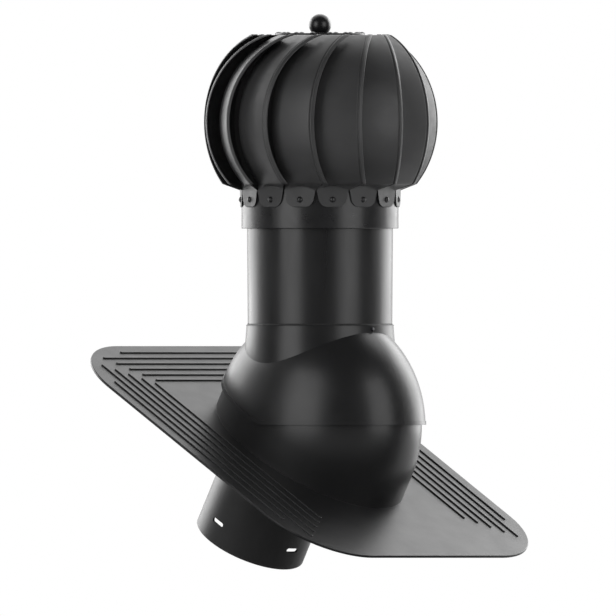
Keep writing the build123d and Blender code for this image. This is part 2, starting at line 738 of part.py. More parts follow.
save("base_flashing", base_flashing())
save("duct_stub", duct_stub())
save("stub_gasket", stub_gasket())
save("stub_screws", stub_screws())
save("hood", hood())
save("riser_pipe", riser_pipe())
save("riser_lock_screws", riser_lock_screws())
save("spider_bracket", spider_bracket())
save("spider_rivets", spider_rivets())
save("axle", axle())
save("axle_foot_washer", axle_washer(spider_top - spider_thickness - washer_thickness))
save("axle_foot_nut", axle_nut(spider_top - spider_thickness - washer_thickness - nut_height))
save("axle_top_washer", axle_washer(hub_shoulder))
save("axle_top_nut", axle_nut(hub_shoulder + washer_thickness))
for place_name, bearing_height in (("lower", lower_bearing_height), ("upper", upper_bearing_height)):
    save(f"{place_name}_bearing_inner_ring", bearing_inner_ring(bearing_height))
    save(f"{place_name}_bearing_outer_ring", bearing_outer_ring(bearing_height))
    save(f"{place_name}_bearing_balls", bearing_balls(bearing_height))
    save(f"{place_name}_bearing_cage", bearing_cage(bearing_height))
save("inner_spacer", inner_spacer())
save("outer_spacer", outer_spacer())
save("hub_housing", hub_housing())
save("retaining_ring", retaining_ring())
save("dust_seal", dust_seal())
save("top_disc", top_disc())
save("top_rivets", top_rivets())
save("hub_screws", hub_screws())
save("ball_finial", ball_finial())
save("neck_ring", neck_ring())
save("neck_rivets", neck_rivets())
one_vane = vane()
for number in range(vane_count):
    turn = Rot(0, 0, vane_first_angle + number * vane_pitch)
    save(f"vane_{number + 1:02d}", on_tilt_centre(turn * one_vane))
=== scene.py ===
import json
import math
import bpy
import numpy as np
from mathutils import Matrix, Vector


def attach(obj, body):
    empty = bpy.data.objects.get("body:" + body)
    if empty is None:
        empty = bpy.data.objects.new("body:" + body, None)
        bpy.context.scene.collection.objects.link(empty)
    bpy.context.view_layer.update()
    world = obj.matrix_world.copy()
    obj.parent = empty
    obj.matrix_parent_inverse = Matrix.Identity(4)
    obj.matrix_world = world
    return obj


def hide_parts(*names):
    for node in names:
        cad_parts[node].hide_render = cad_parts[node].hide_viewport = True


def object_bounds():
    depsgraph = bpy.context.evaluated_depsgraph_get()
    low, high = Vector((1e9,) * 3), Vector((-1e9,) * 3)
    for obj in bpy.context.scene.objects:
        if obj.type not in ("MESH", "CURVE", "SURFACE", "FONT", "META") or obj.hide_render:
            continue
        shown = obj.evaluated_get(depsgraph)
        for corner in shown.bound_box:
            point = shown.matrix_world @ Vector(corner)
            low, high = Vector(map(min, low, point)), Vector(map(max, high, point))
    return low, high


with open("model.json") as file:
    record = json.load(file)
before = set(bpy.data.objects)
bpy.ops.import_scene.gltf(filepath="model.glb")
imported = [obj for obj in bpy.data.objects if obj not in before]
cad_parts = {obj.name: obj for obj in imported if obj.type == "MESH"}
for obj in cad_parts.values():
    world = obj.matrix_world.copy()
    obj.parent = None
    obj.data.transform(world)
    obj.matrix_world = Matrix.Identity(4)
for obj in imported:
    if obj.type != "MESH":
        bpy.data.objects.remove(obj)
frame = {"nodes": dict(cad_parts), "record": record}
cadBox = [list(corner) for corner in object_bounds()]
print("frame loaded:", len(frame["nodes"]), "nodes")

tiltCentre = np.array([0.0, -0.043924, 0.014478])  # where the riser's axis meets the hood's tilt axis


# Shader helpers: every material is a small node tree on Object coordinates, in metres.

def newMaterial(name):
    # an empty node tree in a new material
    material = bpy.data.materials.new(name)
    material.use_nodes = True
    tree = material.node_tree
    tree.nodes.clear()
    return material, tree


def addNode(tree, kind, place, **sockets):
    # a node at a place in the editor, with constants on its sockets
    node = tree.nodes.new(kind)
    node.location = place
    for socket, value in sockets.items():
        node.inputs[socket.replace("_", " ")].default_value = value
    return node


def objectNoise(tree, place, scale, detail, stretch=(1.0, 1.0, 1.0)):
    # noise on Object coordinates; scale is in features per metre, stretch squeezes it along an axis
    coords = addNode(tree, "ShaderNodeTexCoord", (place[0] - 400, place[1]))
    mapping = addNode(tree, "ShaderNodeMapping", (place[0] - 200, place[1]))
    mapping.inputs["Scale"].default_value = stretch
    noise = addNode(tree, "ShaderNodeTexNoise", place, Scale=scale, Detail=detail, Roughness=0.55)
    tree.links.new(coords.outputs["Object"], mapping.inputs["Vector"])
    tree.links.new(mapping.outputs["Vector"], noise.inputs["Vector"])
    return noise.outputs["Fac"]


def mapped(tree, place, value, spanIn, spanOut=(0.0, 1.0), smooth=False):
    # carries the span of values spanIn over to spanOut, and holds still past both ends
    node = addNode(tree, "ShaderNodeMapRange", place)
    if smooth:
        node.interpolation_type = "SMOOTHSTEP"
    node.inputs["From Min"].default_value, node.inputs["From Max"].default_value = spanIn
    node.inputs["To Min"].default_value, node.inputs["To Max"].default_value = spanOut
    tree.links.new(value, node.inputs["Value"])
    return node.outputs["Result"]


def spread(tree, place, value, low, high):
    # noise sits mostly between 0.3 and 0.7, so that span is opened to low..high
    return mapped(tree, place, value, (0.3, 0.7), (low, high))


def lengthAlong(tree, place, vector, direction):
    # how far a vector reaches along a fixed direction
    node = tree.nodes.new("ShaderNodeVectorMath")
    node.operation = "DOT_PRODUCT"
    node.location = place
    node.inputs[1].default_value = tuple(direction)
    tree.links.new(vector, node.inputs[0])
    return node.outputs["Value"]


def joined(tree, place, operation, first, second):
    # two values added, multiplied or compared
    node = addNode(tree, "ShaderNodeMath", place)
    node.operation = operation
    tree.links.new(first, node.inputs[0])
    tree.links.new(second, node.inputs[1])
    return node.outputs["Value"]


def tintBetween(tree, place, value, dark, light):
    # a colour that runs from dark to light over the middle of the noise
    ramp = addNode(tree, "ShaderNodeValToRGB", place)
    ramp.color_ramp.elements[0].position = 0.32
    ramp.color_ramp.elements[1].position = 0.68
    ramp.color_ramp.elements[0].color = (*dark, 1.0)
    ramp.color_ramp.elements[1].color = (*light, 1.0)
    tree.links.new(value, ramp.inputs["Fac"])
    return ramp.outputs["Color"]


def addBump(tree, place, height, strength, distance, below=None):
    # a bump from a height, laid over another bump where there is one below
    bump = addNode(tree, "ShaderNodeBump", place, Strength=strength, Distance=distance)
    tree.links.new(height, bump.inputs["Height"])
    if below is not None:
        tree.links.new(below, bump.inputs["Normal"])
    return bump.outputs["Normal"]


def finishMaterial(tree, shader):
    # puts the shader on the surface
    output = addNode(tree, "ShaderNodeOutputMaterial", (600, 0))
    tree.links.new(shader.outputs["BSDF"], output.inputs["Surface"])


# Black plastics and paints

plasticLook = {
    "dark": (0.0086, 0.0086, 0.0091), "light": (0.0110, 0.0110, 0.0115),
    "roughLow": 0.30, "roughHigh": 0.35,
    "offRoof": (0.0, -0.5, 0.866025), "plateSpan": (0.004, 0.020), "plateExtra": 0.07,
    "grainPerMetre": 1500.0, "grainDepth": 0.00003,
    "flowPerMetre": 16.0,
}


def mouldedPlastic(name, look):
    # satin black with a spark-eroded grain, faint flow marks and slightly uneven gloss, a little
    # rougher on the plate than on the dome above it
    material, tree = newMaterial(name)
    shader = addNode(tree, "ShaderNodeBsdfPrincipled", (300, 0))
    flow = objectNoise(tree, (-300, 300), look["flowPerMetre"], 3.0, (1.0, 0.35, 1.0))
    tint = tintBetween(tree, (0, 300), flow, look["dark"], look["light"])
    tree.links.new(tint, shader.inputs["Base Color"])
    gloss = objectNoise(tree, (-300, 0), 45.0, 4.0)
    gloss = spread(tree, (0, 0), gloss, look["roughLow"], look["roughHigh"])
    coords = addNode(tree, "ShaderNodeTexCoord", (-700, -600))
    height = lengthAlong(tree, (-500, -600), coords.outputs["Object"], look["offRoof"])
    plate = mapped(tree, (-300, -600), height, look["plateSpan"], (look["plateExtra"], 0.0))
    tree.links.new(joined(tree, (150, 0), "ADD", gloss, plate), shader.inputs["Roughness"])
    grain = objectNoise(tree, (-300, -300), look["grainPerMetre"], 2.0)
    tree.links.new(addBump(tree, (0, -300), grain, 0.20, look["grainDepth"]), shader.inputs["Normal"])
    finishMaterial(tree, shader)
    return material


riserLook = {
    "dark": (0.0075, 0.0075, 0.0080), "light": (0.0100, 0.0100, 0.0105),
    "roughLow": 0.27, "roughHigh": 0.36,
    "drawPerMetre": 520.0, "drawDepth": 0.00002,
}


def extrudedPlastic(name, look):
    # smoother black with fine draw lines that run up the pipe
    material, tree = newMaterial(name)
    shader = addNode(tree, "ShaderNodeBsdfPrincipled", (300, 0))
    cloud = objectNoise(tree, (-300, 300), 12.0, 3.0)
    tint = tintBetween(tree, (0, 300), cloud, look["dark"], look["light"])
    tree.links.new(tint, shader.inputs["Base Color"])
    gloss = objectNoise(tree, (-300, 0), 60.0, 3.0, (1.0, 1.0, 0.15))
    gloss = spread(tree, (0, 0), gloss, look["roughLow"], look["roughHigh"])
    tree.links.new(gloss, shader.inputs["Roughness"])
    lines = objectNoise(tree, (-300, -300), look["drawPerMetre"], 2.0, (1.0, 1.0, 0.02))
    tree.links.new(addBump(tree, (0, -300), lines, 0.25, look["drawDepth"]), shader.inputs["Normal"])
    finishMaterial(tree, shader)
    return material


paintLook = {
    "dark": (0.0085, 0.0085, 0.0090), "light": (0.0115, 0.0115, 0.0125),
    "roughLow": 0.26, "roughHigh": 0.34,
    "peelPerMetre": 420.0, "peelDepth": 0.00005,
    "wavePerMetre": 28.0, "waveDepth": 0.0006,
}
vanePaintLook = dict(
    paintLook,
    dark=(0.0270, 0.0270, 0.0275), light=(0.0340, 0.0340, 0.0350),
    roughLow=0.40, roughHigh=0.50,
)
rivetLook = dict(paintLook, light=(0.016, 0.016, 0.017))


def powderCoat(name, look):
    # semi-gloss powder coat: orange peel on a slightly wavy sheet
    material, tree = newMaterial(name)
    shader = addNode(tree, "ShaderNodeBsdfPrincipled", (300, 0))
    cloud = objectNoise(tree, (-300, 300), 25.0, 4.0)
    tint = tintBetween(tree, (0, 300), cloud, look["dark"], look["light"])
    tree.links.new(tint, shader.inputs["Base Color"])
    gloss = objectNoise(tree, (-300, 0), 70.0, 3.0)
    gloss = spread(tree, (0, 0), gloss, look["roughLow"], look["roughHigh"])
    tree.links.new(gloss, shader.inputs["Roughness"])
    wave = objectNoise(tree, (-300, -500), look["wavePerMetre"], 1.0)
    peel = objectNoise(tree, (-300, -300), look["peelPerMetre"], 2.0)
    waved = addBump(tree, (-50, -500), wave, 0.10, look["waveDepth"])
    peeled = addBump(tree, (120, -300), peel, 0.30, look["peelDepth"], waved)
    tree.links.new(peeled, shader.inputs["Normal"])
    finishMaterial(tree, shader)
    return material


# Bare metals, rubber and the bearing's cage

def bareMetal(name, tint, rough, brushed, stretch):
    # metal with fine tool marks: brushed is their count per metre, stretch lays them along an axis
    material, tree = newMaterial(name)
    shader = addNode(tree, "ShaderNodeBsdfPrincipled", (300, 0), Metallic=1.0)
    cloud = objectNoise(tree, (-300, 300), 90.0, 3.0)
    darker = tuple(0.82 * channel for channel in tint)
    tree.links.new(tintBetween(tree, (0, 300), cloud, darker, tint), shader.inputs["Base Color"])
    marks = objectNoise(tree, (-300, 0), brushed, 3.0, stretch)
    tree.links.new(spread(tree, (0, 0), marks, 0.75 * rough, 1.25 * rough), shader.inputs["Roughness"])
    tree.links.new(addBump(tree, (0, -300), marks, 0.2, 0.00003), shader.inputs["Normal"])
    finishMaterial(tree, shader)
    return material


def mattMaterial(name, dark, light, rough, grainPerMetre):
    # matt rubber or natural polyamide
    material, tree = newMaterial(name)
    shader = addNode(tree, "ShaderNodeBsdfPrincipled", (300, 0))
    cloud = objectNoise(tree, (-300, 300), 120.0, 4.0)
    tree.links.new(tintBetween(tree, (0, 300), cloud, dark, light), shader.inputs["Base Color"])
    grain = objectNoise(tree, (-300, -300), grainPerMetre, 3.0)
    tree.links.new(spread(tree, (0, 0), grain, 0.85 * rough, 1.1 * rough), shader.inputs["Roughness"])
    tree.links.new(addBump(tree, (0, -300), grain, 0.4, 0.00005), shader.inputs["Normal"])
    finishMaterial(tree, shader)
    return material


finishes = {
    "black_plastic": mouldedPlastic("satinMouldedPlastic", plasticLook),
    "riser_plastic": extrudedPlastic("extrudedRiserPlastic", riserLook),
    "black_paint": powderCoat("blackPowderCoat", paintLook),
    "vane_paint": powderCoat("vanePowderCoat", vanePaintLook),
    "black_rivet": powderCoat("paintedRivet", rivetLook),
    "bearing_steel": bareMetal("groundBearingSteel", (0.62, 0.62, 0.63), 0.14, 2500.0, (1, 1, 0.1)),
    "zinc_steel": bareMetal("zincPlatedSteel", (0.55, 0.56, 0.58), 0.30, 900.0, (1, 1, 1)),
    "hub_aluminium": bareMetal("turnedAluminium", (0.60, 0.61, 0.62), 0.26, 1800.0, (0.05, 0.05, 1)),
    "cage_plastic": mattMaterial("naturalPolyamide", (0.48, 0.43, 0.32), (0.55, 0.50, 0.38), 0.5, 1500.0),
    "black_rubber": mattMaterial("mattRubber", (0.012, 0.012, 0.012), (0.02, 0.02, 0.02), 0.75, 1200.0),
    "dark_screw": bareMetal("blackenedSteel", (0.05, 0.05, 0.055), 0.34, 1500.0, (1, 1, 1)),
}

for part in frame["record"]["subparts"]:
    node = frame["nodes"][part["node"]]
    finish = finishes[part["material_slot"]]
    if len(node.material_slots) == 0:
        node.data.materials.append(finish)
    for slot in node.material_slots:
        slot.material = finish


# Vanes: painted sheet, curved in two arcs, its free edge folded double, its lower end drawn into a foot

vaneLook = {
    "count": 15, "firstTurn": 215.8, "sheet": 0.0008,
    "innerEdge": 0.0110, "crease": 0.0602, "hem": 0.0048, "hemDrop": 0.0015, "foldRadius": 0.0008,
    "bendRun": 0.0012, "groove": 0.0007, "grooveHalf": 0.0006, "bead": 0.0008, "beadColumns": 20,
    "crown": 0.0011, "belly": 0.1135, "bellyHeight": 0.3341,
    "upperRadius": 0.1024, "upperHeight": 0.0959, "lowerRadius": 0.1024, "lowerHeight": 0.0681,
    "footTurn": 18.4, "footFace": 0.08645, "neckTop": 0.2590, "footArch": 0.0048,
    "footHalf": 0.0178, "footEndHalf": 0.0138, "footDrop": 0.0186, "footCorner": 0.0085,
    "tabWidth": 0.0143, "tabReach": 0.0103,
    "rows": 88, "columns": 30, "edgeColumns": (0.0004, 0.0010, 0.0024),
}


def turned(points, degrees):
    # points turned about the upright axis
    angle = math.radians(degrees)
    right, ahead = math.cos(angle), math.sin(angle)
    spin = np.array([[right, -ahead, 0], [ahead, right, 0], [0, 0, 1]])
    return points @ spin.T


def newPiece(name, points, faces, finish):
    # a smooth mesh from an array of points and a list of faces
    mesh = bpy.data.meshes.new(name)
    mesh.from_pydata(points.tolist(), [], faces)
    mesh.polygons.foreach_set("use_smooth", np.ones(len(mesh.polygons), bool))
    mesh.materials.append(finishes[finish])
    piece = bpy.data.objects.new(name, mesh)
    bpy.context.scene.collection.objects.link(piece)
    return piece


def hemPath(look):
    # across the sheet, as (place, depth): a flat run, a pressed groove with a rounded bead beyond it,
    # a half circle at the fold, and the turned-back flap just under the bead
    bendRun, fold = look["bendRun"], look["foldRadius"]
    flatWidth = look["crease"] - bendRun - look["innerEdge"]
    flat = look["innerEdge"] + flatWidth * np.linspace(0, 1, look["columns"])
    flat[1:4] = look["innerEdge"] + np.array(look["edgeColumns"])
    run = np.linspace(0, 1, look["beadColumns"] + 1)[1:]
    strip = look["crease"] - bendRun + (look["hem"] + bendRun - fold) * run
    slope = look["hemDrop"] / look["hem"]
    past = (strip - look["crease"]) / bendRun
    bend = slope * bendRun * np.where(past < 1, np.maximum(past + 1, 0) ** 2 / 4, past)
    share = np.clip((strip - look["crease"]) / (look["hem"] - fold), 0, 1)
    groove = look["groove"] * np.exp(-((strip - look["crease"]) / look["grooveHalf"]) ** 2)
    bend = bend + groove - look["bead"] * np.sin(np.pi * share)
    turn = np.linspace(0, np.pi, 9)[1:]
    tip = strip[-1] + fold * np.sin(turn)
    tipDepth = bend[-1] + fold * (1 - np.cos(turn)) + slope * fold * np.sin(turn)
    back = strip[::-1][1:17:3]  # the flap needs only every third column
    backDepth = bend[::-1][1:17:3] + 2 * fold
    place = np.concatenate([flat, strip, tip, back])
    depth = np.concatenate([np.zeros_like(flat), bend, tipDepth, backDepth])
    middle = (look["innerEdge"] + look["crease"]) / 2
    half = (look["crease"] - look["innerEdge"]) / 2
    crown = look["crown"] * np.maximum(1 - ((place - middle) / half) ** 2, 0)
    return place, depth - crown, len(flat) + look["beadColumns"] // 2


def vaneSheet(look):
    # outer face of one vane that looks along +X. Stave: two arcs about points at belly height, swept
    # through the path across the sheet. Foot: rows that run straight from the stave's lower edge to
    # an arched bend, then down a flat tongue whose half width shrinks to rounded corners. Tab: the top
    # row's first columns, carried inwards under the disc.
    place, depth, mainCount = hemPath(look)
    low = -np.arcsin(look["lowerHeight"] / (look["lowerRadius"] - depth))
    high = np.arcsin(look["upperHeight"] / (look["upperRadius"] - depth))
    turn = low + (high - low) * np.linspace(0, 1, look["rows"])[:, None]
    arc = np.where(turn < 0, look["lowerRadius"], look["upperRadius"])
    radius = arc - depth
    centre = look["belly"] - arc
    stave = np.stack([
        centre + radius * np.cos(turn),
        np.broadcast_to(place, radius.shape),
        look["bellyHeight"] + radius * np.sin(turn),
    ], -1)
    main = place[:mainCount]
    across = 2 * (main - main[0]) / (main[-1] - main[0]) - 1
    quarter = np.linspace(0, np.pi / 2, 12)
    down = np.concatenate([np.linspace(0, 0.55, 8), 1 - 0.45 * np.cos(quarter[1:])])  # finer at the corners
    bottom = look["neckTop"] - look["footDrop"]
    arch = look["neckTop"] + look["footArch"] * (1 - across ** 2)
    rise = down[:, None]
    height = arch + (bottom - arch) * rise
    level = (look["neckTop"] - height) / look["footDrop"]
    side = look["footHalf"] + (look["footEndHalf"] - look["footHalf"]) * np.clip(level[:, :1], 0, 1)
    corner = np.clip((bottom + look["footCorner"] - height[:, :1]) / look["footCorner"], 0, 1)
    side = side - look["footCorner"] * (1 - np.sqrt(1 - corner ** 2))
    tongue = np.stack([np.full_like(height, look["footFace"] + look["sheet"]), side * across, height], -1)
    tongue = turned(tongue, look["footTurn"])
    blend = np.linspace(0, 1, 8)[1:-1, None, None]
    web = stave[0, :mainCount] * (1 - blend) + tongue[0] * blend
    foot = np.concatenate([web, tongue])
    held = place[:mainCount] <= look["innerEdge"] + look["tabWidth"]
    inward = look["tabReach"] * np.linspace(0, 1, 6)[1:, None, None]
    tab = stave[-1, :mainCount][held] - inward * np.array([1.0, 0.0, 0.0])
    return stave, foot, tab, mainCount


def gridFaces(rows, columns, start):
    # quads of a grid of points, row after row
    first = start + np.arange(rows - 1)[:, None] * columns + np.arange(columns - 1)
    return np.stack([first, first + 1, first + columns + 1, first + columns], -1).reshape(-1, 4)


def makeVane(number, look):
    # stave, web, foot and tab sewn together, turned to the vane's place and given their thickness
    stave, foot, tab, mainCount = vaneSheet(look)
    rows, columns = stave.shape[:2]
    points = np.concatenate([stave.reshape(-1, 3), foot.reshape(-1, 3), tab.reshape(-1, 3)])
    footStart = rows * columns
    tabStart = footStart + foot.shape[0] * foot.shape[1]
    faces = [gridFaces(rows, columns, 0), gridFaces(len(foot), mainCount, footStart)[:, ::-1]]
    lower = np.arange(mainCount - 1)
    faces.append(np.stack([lower + 1, lower, footStart + lower, footStart + lower + 1], -1))
    held = np.arange(tab.shape[1] - 1)
    top = footStart - columns + held
    faces.append(np.stack([top, top + 1, tabStart + held + 1, tabStart + held], -1))
    faces.append(gridFaces(tab.shape[0], tab.shape[1], tabStart))
    points = turned(points, look["firstTurn"] + number * 360 / look["count"]) + tiltCentre
    piece = newPiece(f"sheet_vane_{number + 1:02d}", points, np.concatenate(faces).tolist(), "vane_paint")
    wall = piece.modifiers.new("sheetThickness", "SOLIDIFY")
    wall.thickness = look["sheet"]
    wall.offset = -1.0
    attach(piece, "rotor")
    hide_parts(f"vane_{number + 1:02d}")
    return piece


for number in range(vaneLook["count"]):
    makeVane(number, vaneLook)
print("vanes made:", vaneLook["count"])


# Flashing: plate, hollow dome and raised ribs, worked out in the roof's own frame

flashingLook = {
    "pitch": 30.0, "centre": -0.0308, "halfWidth": 0.1875, "halfLength": 0.2310, "corner": 0.0870,
    "thickness": 0.0028, "edgeRound": 0.0009, "underRound": 0.0003, "stubHole": 0.0635, "margin": 0.0005,
    "domeHalfWidth": 0.0950, "domeRadius": 0.1270, "wall": 0.0025, "skirt": 0.0317, "foot": 0.00012,
    "edgeLoop": 0.0004, "footLoops": (0.03, 0.006, 0.0008),
    "mouthLean": 27.5, "mouthHalfLength": 0.0950, "mouthHalfWidth": 0.0760, "spokes": 384,
    "ribRows": 6, "ribWidth": 0.0030, "ribHeight": 0.0015, "ribFromEdge": 0.0155, "ribSpacing": 0.0121,
    "ribOuterRunIn": 0.0790, "ribRunIn": 0.0420, "ribRunInStep": 0.0100,
}


def onRoof(points, look):
    # from (across, up the roof, off the roof) to the object's own frame
    pitch = math.radians(look["pitch"])
    up = np.array([0.0, math.cos(pitch), math.sin(pitch)])
    off = np.array([0.0, -math.sin(pitch), math.cos(pitch)])
    across = np.array([1.0, 0.0, 0.0])
    return points[..., :1] * across + (points[..., 1:2] + look["centre"]) * up + points[..., 2:] * off


def outlineRing(look, heading, inset, level):
    # where rays from the middle cross a rounded rectangle: on a straight side, or on a corner's circle
    width, length = look["halfWidth"] - inset, look["halfLength"] - inset
    corner = look["corner"] - inset
    tiny = 1e-9
    toSide = width / np.maximum(abs(heading[:, 0]), tiny)
    toEnd = length / np.maximum(abs(heading[:, 1]), tiny)
    reach = np.minimum(toSide, toEnd)
    pivot = np.sign(heading) * np.array([width - corner, length - corner])
    along = (heading * pivot).sum(1)
    inside = along ** 2 - (pivot ** 2).sum(1) + corner ** 2
    onCorner = along + np.sqrt(np.maximum(inside, 0))
    flat = reach[:, None] * heading
    atCorner = (abs(flat[:, 0]) > width - corner) & (abs(flat[:, 1]) > length - corner)
    reach = np.where(atCorner, onCorner, reach)
    return np.column_stack([reach[:, None] * heading, np.full(len(heading), level)])


def ovalRing(turn, halfWidth, halfLength, level):
    # an ellipse about the dome's foot
    return np.column_stack([halfWidth * np.cos(turn), halfLength * np.sin(turn), np.full(len(turn), level)])


def domeRings(look, turn, inset, steps):
    # from the skirt's top to the mouth: unit vectors of the two rims, blended and set back on the ellipsoid
    size = np.array([look["domeHalfWidth"], look["domeRadius"], look["domeRadius"]]) - inset
    level = look["thickness"] + look["skirt"]
    lean = math.radians(look["mouthLean"])
    side = look["mouthHalfWidth"] * np.cos(turn)
    long = look["mouthHalfLength"] * np.sin(turn)
    rise = size[1] * np.sqrt(1 - (side / size[0]) ** 2 - (long / size[1]) ** 2)
    mouth = np.column_stack([
        side,
        math.cos(lean) * long + math.sin(lean) * rise,
        math.cos(lean) * rise - math.sin(lean) * long,
    ]) / size
    skirt = np.column_stack([np.cos(turn), np.sin(turn), np.zeros(len(turn))])
    share = np.asarray(steps)[:, None, None]
    rings = (1 - share) * skirt + share * mouth
    rings = rings / np.linalg.norm(rings, axis=2, keepdims=True)
    return list(rings * size + np.array([0.0, 0.0, level]))


def flashingRings(look):
    # closed rings in one path: stub hole, underside, plate's edge, top, dome's foot, skirt, dome, mouth,
    # then back down the inside to the hole
    turn = np.arange(look["spokes"]) * 2 * math.pi / look["spokes"]
    heading = np.column_stack([look["domeHalfWidth"] * np.cos(turn), look["domeRadius"] * np.sin(turn)])
    heading = heading / np.linalg.norm(heading, axis=1, keepdims=True)
    top, edge, under, foot = look["thickness"], look["edgeRound"], look["underRound"], look["foot"]
    wide, tall = look["domeHalfWidth"], look["domeRadius"]
    level = top + look["skirt"]

    def hole(radius, height):
        return np.column_stack([radius * heading[:, 0], radius * heading[:, 1] - look["centre"],
                                np.full(len(turn), height)])

    rings = [hole(look["stubHole"], 0.0), hole(look["stubHole"] + look["margin"], 0.0)]
    rings.append(outlineRing(look, heading, 2 * under, 0.0))
    for angle in np.linspace(0, math.pi / 2, 4):
        inset, height = under * (1 - math.sin(angle)), under * (1 - math.cos(angle))
        rings.append(outlineRing(look, heading, inset, height))
    for angle in np.linspace(0, math.pi / 2, 7):
        inset, height = edge * (1 - math.cos(angle)), top - edge * (1 - math.sin(angle))
        rings.append(outlineRing(look, heading, inset, height))
    rings.append(outlineRing(look, heading, edge + look["edgeLoop"], top))
    for out in look["footLoops"]:
        rings.append(ovalRing(turn, wide + foot + out, tall + foot + out, top))
    for angle in np.linspace(0, math.pi / 2, 7):
        out, height = foot * (1 - math.sin(angle)), top + foot * (1 - math.cos(angle))
        rings.append(ovalRing(turn, wide + out, tall + out, height))
    for height in (top + foot + look["footLoops"][-1], (top + level) / 2, level):
        rings.append(ovalRing(turn, wide, tall, height))
    rings += domeRings(look, turn, 0.0, np.linspace(0, 1, 19)[1:])
    rings += domeRings(look, turn, look["wall"], np.linspace(1, 0, 9))
    for inset, height in (
        (look["wall"], top + look["edgeLoop"]),
        (look["wall"], top),
        (look["wall"] + look["margin"], top),
    ):
        rings.append(ovalRing(turn, wide - inset, tall - inset, height))
    rings += [hole(look["stubHole"] + look["margin"], top), hole(look["stubHole"], top)]
    return np.array(rings)


def ribGrid(look, length):
    # box-like rounded section, its half width and height shrinking round both ends
    radius = look["ribWidth"] / 2
    end = np.linspace(0, math.radians(83), 7)
    run = length / 2 - radius
    along = np.concatenate([-(run + radius * np.sin(end))[::-1], run + radius * np.sin(end)])
    half = radius * np.concatenate([np.cos(end)[::-1], np.cos(end)])
    angle = np.linspace(0, math.pi, 13)
    section = np.column_stack([np.sign(np.cos(angle)) * abs(np.cos(angle)) ** 0.5, np.sin(angle) ** 0.5])
    section = np.concatenate([section, [[-1.0, -0.25], [1.0, -0.25]]])
    rise = look["ribHeight"] * np.maximum(section[:, 1] * (half[:, None] / radius) ** 0.5, -0.2)
    return np.stack([half[:, None] * section[:, 0], np.broadcast_to(along[:, None], rise.shape), rise], -1)


def loopFaces(rings, loop, start, closed):
    # quads between rings of a closed loop; closed also joins the last ring to the first
    ring = np.arange(rings if closed else rings - 1)[:, None]
    here = np.arange(loop)
    after = (here + 1) % loop
    onward = (ring + 1) % rings
    near, far = ring * loop, onward * loop
    quads = np.stack([near + here, near + after, far + after, far + here], -1)
    return start + quads.reshape(-1, 4)


def makeFlashing(look):
    # the closed shell, then three rows of ribs: two along the sides and one across the upper end
    rings = flashingRings(look)
    points, faces = [rings.reshape(-1, 3)], loopFaces(len(rings), look["spokes"], 0, True).tolist()
    start = len(points[0])
    places = []
    for row in range(look["ribRows"]):
        fromEdge = look["ribFromEdge"] + row * look["ribSpacing"]
        runIn = look["ribRunIn"] + (row - 1) * look["ribRunInStep"]
        if row == 0:
            runIn = look["ribOuterRunIn"]
        places.append((2 * (look["halfLength"] - runIn), look["halfWidth"] - fromEdge, 0))
        places.append((2 * (look["halfLength"] - runIn), fromEdge - look["halfWidth"], 0))
        places.append((2 * (look["halfWidth"] - runIn), look["halfLength"] - fromEdge, 90))
    for length, aside, swing in places:
        rib = ribGrid(look, length) + np.array([0, 0, look["thickness"]])
        if swing:
            rib = np.stack([rib[..., 1], -rib[..., 0] + aside, rib[..., 2]], -1)
        else:
            rib = rib + np.array([aside, 0, 0])
        count, loop = rib.shape[:2]
        points.append(rib.reshape(-1, 3))
        faces += loopFaces(count, loop, start, False)[:, ::-1].tolist()
        faces.append(list(range(start, start + loop)))
        faces.append(list(range(start + (count - 1) * loop, start + count * loop))[::-1])
        start += count * loop
    piece = newPiece("moulded_flashing", onRoof(np.concatenate(points), look), faces, "black_plastic")
    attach(piece, "roof_base")
    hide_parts("base_flashing")
    return piece


makeFlashing(flashingLook)
print("flashing made, ribs:", 3 * flashingLook["ribRows"])


# Collar's top: a rounded bead on its edge, and a thin dark matt ring where the riser goes in, shaped like a
# rubber seal, that paints the shade line at the step

collarLook = {
    "level": 0.110967, "bore": 0.07962, "outer": 0.08086, "beadOut": 0.0004, "beadRise": 0.0003,
    "beadDrop": 0.0012, "beadInset": 0.0002, "shadeSealOut": 0.00045, "shadeSealInset": 0.0003, "shadeSealFoot": 0.0004,
    "shadeSealHeight": 0.0012, "spokes": 256,
}


def ringPiece(name, profile, finish, look):
    # a closed profile of (radius, height) points carried once round the riser's axis
    angle = np.arange(look["spokes"]) * 2 * math.pi / look["spokes"]
    points = np.stack([
        profile[:, :1] * np.cos(angle),
        profile[:, :1] * np.sin(angle),
        np.broadcast_to(profile[:, 1:], (len(profile), len(angle))),
    ], -1) + tiltCentre
    faces = loopFaces(len(profile), look["spokes"], 0, True)
    piece = newPiece(name, points.reshape(-1, 3), faces.tolist(), finish)
    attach(piece, "hood_mast")
    return piece


def roundedLoop(inner, outer, low, high):
    # a rounded box of (radius, height) points, walked from the bottom outwards and up
    angle = np.linspace(-math.pi / 2, math.pi / 2, 13)
    middle, half = (low + high) / 2, (high - low) / 2
    reach = min(half, outer - inner)
    bulge = np.column_stack([outer - reach + reach * np.cos(angle), middle + half * np.sin(angle)])
    return np.concatenate([[[inner, low]], bulge, [[inner, high]]])


def makeCollarTop(look):
    # both loops start inside the wall or the riser, so that no gap shows
    level, beadTop = look["level"], look["level"] + look["beadRise"]
    bead = roundedLoop(look["bore"] + look["beadInset"], look["outer"] + look["beadOut"],
                       level - look["beadDrop"], beadTop)
    ringPiece("collar_bead", bead, "black_plastic", look)
    # painted shade: a dark matt ring, shaped like a seal, stands in for the shade line where the riser
    # meets the collar
    shadeSeal = roundedLoop(look["bore"] - look["shadeSealInset"], look["bore"] + look["shadeSealOut"],
                       level - look["shadeSealFoot"], beadTop + look["shadeSealHeight"])
    ringPiece("painted_shade_seal", shadeSeal, "black_rubber", look)


makeCollarTop(collarLook)
print("collar top made")


# Camera: level, from the front left corner of the flashing, without perspective

cameraLook = {"azimuth": -45.0, "width": 0.6776, "side": -0.01320, "rise": 0.1296, "distance": 3.0}

